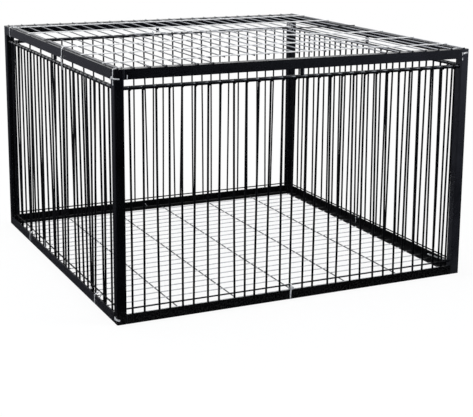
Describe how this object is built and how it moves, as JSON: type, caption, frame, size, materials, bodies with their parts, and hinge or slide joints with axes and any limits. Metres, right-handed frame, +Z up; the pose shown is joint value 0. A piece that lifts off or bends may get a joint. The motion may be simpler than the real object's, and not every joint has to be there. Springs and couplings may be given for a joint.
{
  "type": "pigeon trap",
  "caption": "Low square pigeon trap of black angle and tube with a welded wire floor, a wire roof with a hinged door, and bob wires on all four sides that swing inward only.",
  "frame": {"origin": "middle of the footprint, on the ground plane under the floor rails", "axes": "+Z up; -Y is the front side, the long face towards the viewer in the picture; +X is the front side's right end"},
  "size_m": [0.8, 0.8, 0.5117],
  "materials": {
    "frame_paint": "black satin paint over welded steel tube and angle",
    "bob_paint": "black satin paint over steel wire",
    "galvanised_wire": "light grey galvanised welded wire mesh"
  },
  "bodies": {
    "cage": {"post_front_left": "frame_paint", "post_front_right": "frame_paint", "post_rear_right": "frame_paint", "post_rear_left": "frame_paint", "floor_rail_front": "frame_paint", "roof_rail_front": "frame_paint", "stop_wire_front": "bob_paint", "strut_front": "frame_paint", "floor_rail_right": "frame_paint", "roof_rail_right": "frame_paint", "stop_wire_right": "bob_paint", "strut_right": "frame_paint", "floor_rail_rear": "frame_paint", "roof_rail_rear": "frame_paint", "stop_wire_rear": "bob_paint", "strut_rear": "frame_paint", "floor_rail_left": "frame_paint", "roof_rail_left": "frame_paint", "stop_wire_left": "bob_paint", "strut_left": "frame_paint", "bob_rod_front": "frame_paint", "roof_panel": "galvanised_wire", "door_ring_left": "galvanised_wire", "door_ring_right": "galvanised_wire", "floor_panel": "galvanised_wire"},
    "curtain_rear": {"bob_curtain_rear": "bob_paint"},
    "curtain_left": {"bob_curtain_left": "bob_paint"},
    "curtain_right": {"bob_curtain_right": "bob_paint"},
    "bob_body_front_01": {"bob_front_01": "bob_paint"},
    "bob_body_front_02": {"bob_front_02": "bob_paint"},
    "bob_body_front_03": {"bob_front_03": "bob_paint"},
    "bob_body_front_04": {"bob_front_04": "bob_paint"},
    "bob_body_front_05": {"bob_front_05": "bob_paint"},
    "bob_body_front_06": {"bob_front_06": "bob_paint"},
    "bob_body_front_07": {"bob_front_07": "bob_paint"},
    "bob_body_front_08": {"bob_front_08": "bob_paint"},
    "bob_body_front_09": {"bob_front_09": "bob_paint"},
    "bob_body_front_10": {"bob_front_10": "bob_paint"},
    "bob_body_front_11": {"bob_front_11": "bob_paint"},
    "bob_body_front_12": {"bob_front_12": "bob_paint"},
    "bob_body_front_13": {"bob_front_13": "bob_paint"},
    "bob_body_front_14": {"bob_front_14": "bob_paint"},
    "bob_body_front_15": {"bob_front_15": "bob_paint"},
    "bob_body_front_16": {"bob_front_16": "bob_paint"},
    "bob_body_front_17": {"bob_front_17": "bob_paint"},
    "bob_body_front_18": {"bob_front_18": "bob_paint"},
    "bob_body_front_19": {"bob_front_19": "bob_paint"},
    "bob_body_front_20": {"bob_front_20": "bob_paint"},
    "bob_body_front_21": {"bob_front_21": "bob_paint"},
    "bob_body_front_22": {"bob_front_22": "bob_paint"},
    "bob_body_front_23": {"bob_front_23": "bob_paint"},
    "bob_body_front_24": {"bob_front_24": "bob_paint"},
    "bob_body_front_25": {"bob_front_25": "bob_paint"},
    "bob_body_front_26": {"bob_front_26": "bob_paint"},
    "bob_body_front_27": {"bob_front_27": "bob_paint"},
    "bob_body_front_28": {"bob_front_28": "bob_paint"},
    "roof_door_body": {"roof_door": "galvanised_wire"}
  },
  "joints": [
    {"name": "curtain_rear_swing", "type": "hinge", "parent": "cage", "child": "curtain_rear", "pos_m": [0, 0.392, 0.463], "axis": [-1, 0, 0], "range_deg": [0, 55]},
    {"name": "curtain_left_swing", "type": "hinge", "parent": "cage", "child": "curtain_left", "pos_m": [-0.392, 0, 0.463], "axis": [0, 1, 0], "range_deg": [-55, 0]},
    {"name": "curtain_right_swing", "type": "hinge", "parent": "cage", "child": "curtain_right", "pos_m": [0.392, 0, 0.463], "axis": [0, -1, 0], "range_deg": [-55, 0]},
    {"name": "bob_front_01_swing", "type": "hinge", "parent": "cage", "child": "bob_body_front_01", "pos_m": [-0.36643, -0.392, 0.463], "axis": [1, 0, 0], "range_deg": [0, 55]},
    {"name": "bob_front_02_swing", "type": "hinge", "parent": "cage", "child": "bob_body_front_02", "pos_m": [-0.33929, -0.392, 0.463], "axis": [1, 0, 0], "range_deg": [0, 55]},
    {"name": "bob_front_03_swing", "type": "hinge", "parent": "cage", "child": "bob_body_front_03", "pos_m": [-0.31214, -0.392, 0.463], "axis": [1, 0, 0], "range_deg": [0, 55]},
    {"name": "bob_front_04_swing", "type": "hinge", "parent": "cage", "child": "bob_body_front_04", "pos_m": [-0.285, -0.392, 0.463], "axis": [1, 0, 0], "range_deg": [0, 55]},
    {"name": "bob_front_05_swing", "type": "hinge", "parent": "cage", "child": "bob_body_front_05", "pos_m": [-0.25786, -0.392, 0.463], "axis": [1, 0, 0], "range_deg": [0, 55]},
    {"name": "bob_front_06_swing", "type": "hinge", "parent": "cage", "child": "bob_body_front_06", "pos_m": [-0.23071, -0.392, 0.463], "axis": [1, 0, 0], "range_deg": [0, 55]},
    {"name": "bob_front_07_swing", "type": "hinge", "parent": "cage", "child": "bob_body_front_07", "pos_m": [-0.20357, -0.392, 0.463], "axis": [1, 0, 0], "range_deg": [0, 55]},
    {"name": "bob_front_08_swing", "type": "hinge", "parent": "cage", "child": "bob_body_front_08", "pos_m": [-0.17643, -0.392, 0.463], "axis": [1, 0, 0], "range_deg": [0, 55]},
    {"name": "bob_front_09_swing", "type": "hinge", "parent": "cage", "child": "bob_body_front_09", "pos_m": [-0.14929, -0.392, 0.463], "axis": [1, 0, 0], "range_deg": [0, 55]},
    {"name": "bob_front_10_swing", "type": "hinge", "parent": "cage", "child": "bob_body_front_10", "pos_m": [-0.12214, -0.392, 0.463], "axis": [1, 0, 0], "range_deg": [0, 55]},
    {"name": "bob_front_11_swing", "type": "hinge", "parent": "cage", "child": "bob_body_front_11", "pos_m": [-0.095, -0.392, 0.463], "axis": [1, 0, 0], "range_deg": [0, 55]},
    {"name": "bob_front_12_swing", "type": "hinge", "parent": "cage", "child": "bob_body_front_12", "pos_m": [-0.06786, -0.392, 0.463], "axis": [1, 0, 0], "range_deg": [0, 55]},
    {"name": "bob_front_13_swing", "type": "hinge", "parent": "cage", "child": "bob_body_front_13", "pos_m": [-0.04071, -0.392, 0.463], "axis": [1, 0, 0], "range_deg": [0, 55]},
    {"name": "bob_front_14_swing", "type": "hinge", "parent": "cage", "child": "bob_body_front_14", "pos_m": [-0.01357, -0.392, 0.463], "axis": [1, 0, 0], "range_deg": [0, 55]},
    {"name": "bob_front_15_swing", "type": "hinge", "parent": "cage", "child": "bob_body_front_15", "pos_m": [0.01357, -0.392, 0.463], "axis": [1, 0, 0], "range_deg": [0, 55]},
    {"name": "bob_front_16_swing", "type": "hinge", "parent": "cage", "child": "bob_body_front_16", "pos_m": [0.04071, -0.392, 0.463], "axis": [1, 0, 0], "range_deg": [0, 55]},
    {"name": "bob_front_17_swing", "type": "hinge", "parent": "cage", "child": "bob_body_front_17", "pos_m": [0.06786, -0.392, 0.463], "axis": [1, 0, 0], "range_deg": [0, 55]},
    {"name": "bob_front_18_swing", "type": "hinge", "parent": "cage", "child": "bob_body_front_18", "pos_m": [0.095, -0.392, 0.463], "axis": [1, 0, 0], "range_deg": [0, 55]},
    {"name": "bob_front_19_swing", "type": "hinge", "parent": "cage", "child": "bob_body_front_19", "pos_m": [0.12214, -0.392, 0.463], "axis": [1, 0, 0], "range_deg": [0, 55]},
    {"name": "bob_front_20_swing", "type": "hinge", "parent": "cage", "child": "bob_body_front_20", "pos_m": [0.14929, -0.392, 0.463], "axis": [1, 0, 0], "range_deg": [0, 55]},
    {"name": "bob_front_21_swing", "type": "hinge", "parent": "cage", "child": "bob_body_front_21", "pos_m": [0.17643, -0.392, 0.463], "axis": [1, 0, 0], "range_deg": [0, 55]},
    {"name": "bob_front_22_swing", "type": "hinge", "parent": "cage", "child": "bob_body_front_22", "pos_m": [0.20357, -0.392, 0.463], "axis": [1, 0, 0], "range_deg": [0, 55]},
    {"name": "bob_front_23_swing", "type": "hinge", "parent": "cage", "child": "bob_body_front_23", "pos_m": [0.23071, -0.392, 0.463], "axis": [1, 0, 0], "range_deg": [0, 55]},
    {"name": "bob_front_24_swing", "type": "hinge", "parent": "cage", "child": "bob_body_front_24", "pos_m": [0.25786, -0.392, 0.463], "axis": [1, 0, 0], "range_deg": [0, 55]},
    {"name": "bob_front_25_swing", "type": "hinge", "parent": "cage", "child": "bob_body_front_25", "pos_m": [0.285, -0.392, 0.463], "axis": [1, 0, 0], "range_deg": [0, 55]},
    {"name": "bob_front_26_swing", "type": "hinge", "parent": "cage", "child": "bob_body_front_26", "pos_m": [0.31214, -0.392, 0.463], "axis": [1, 0, 0], "range_deg": [0, 55]},
    {"name": "bob_front_27_swing", "type": "hinge", "parent": "cage", "child": "bob_body_front_27", "pos_m": [0.33929, -0.392, 0.463], "axis": [1, 0, 0], "range_deg": [0, 55]},
    {"name": "bob_front_28_swing", "type": "hinge", "parent": "cage", "child": "bob_body_front_28", "pos_m": [0.36643, -0.392, 0.463], "axis": [1, 0, 0], "range_deg": [0, 55]},
    {"name": "roof_door_hinge", "type": "hinge", "parent": "cage", "child": "roof_door_body", "pos_m": [0.007, 0.058, 0.50855], "axis": [-1, 0, 0], "range_deg": [0, 175]}
  ]
}
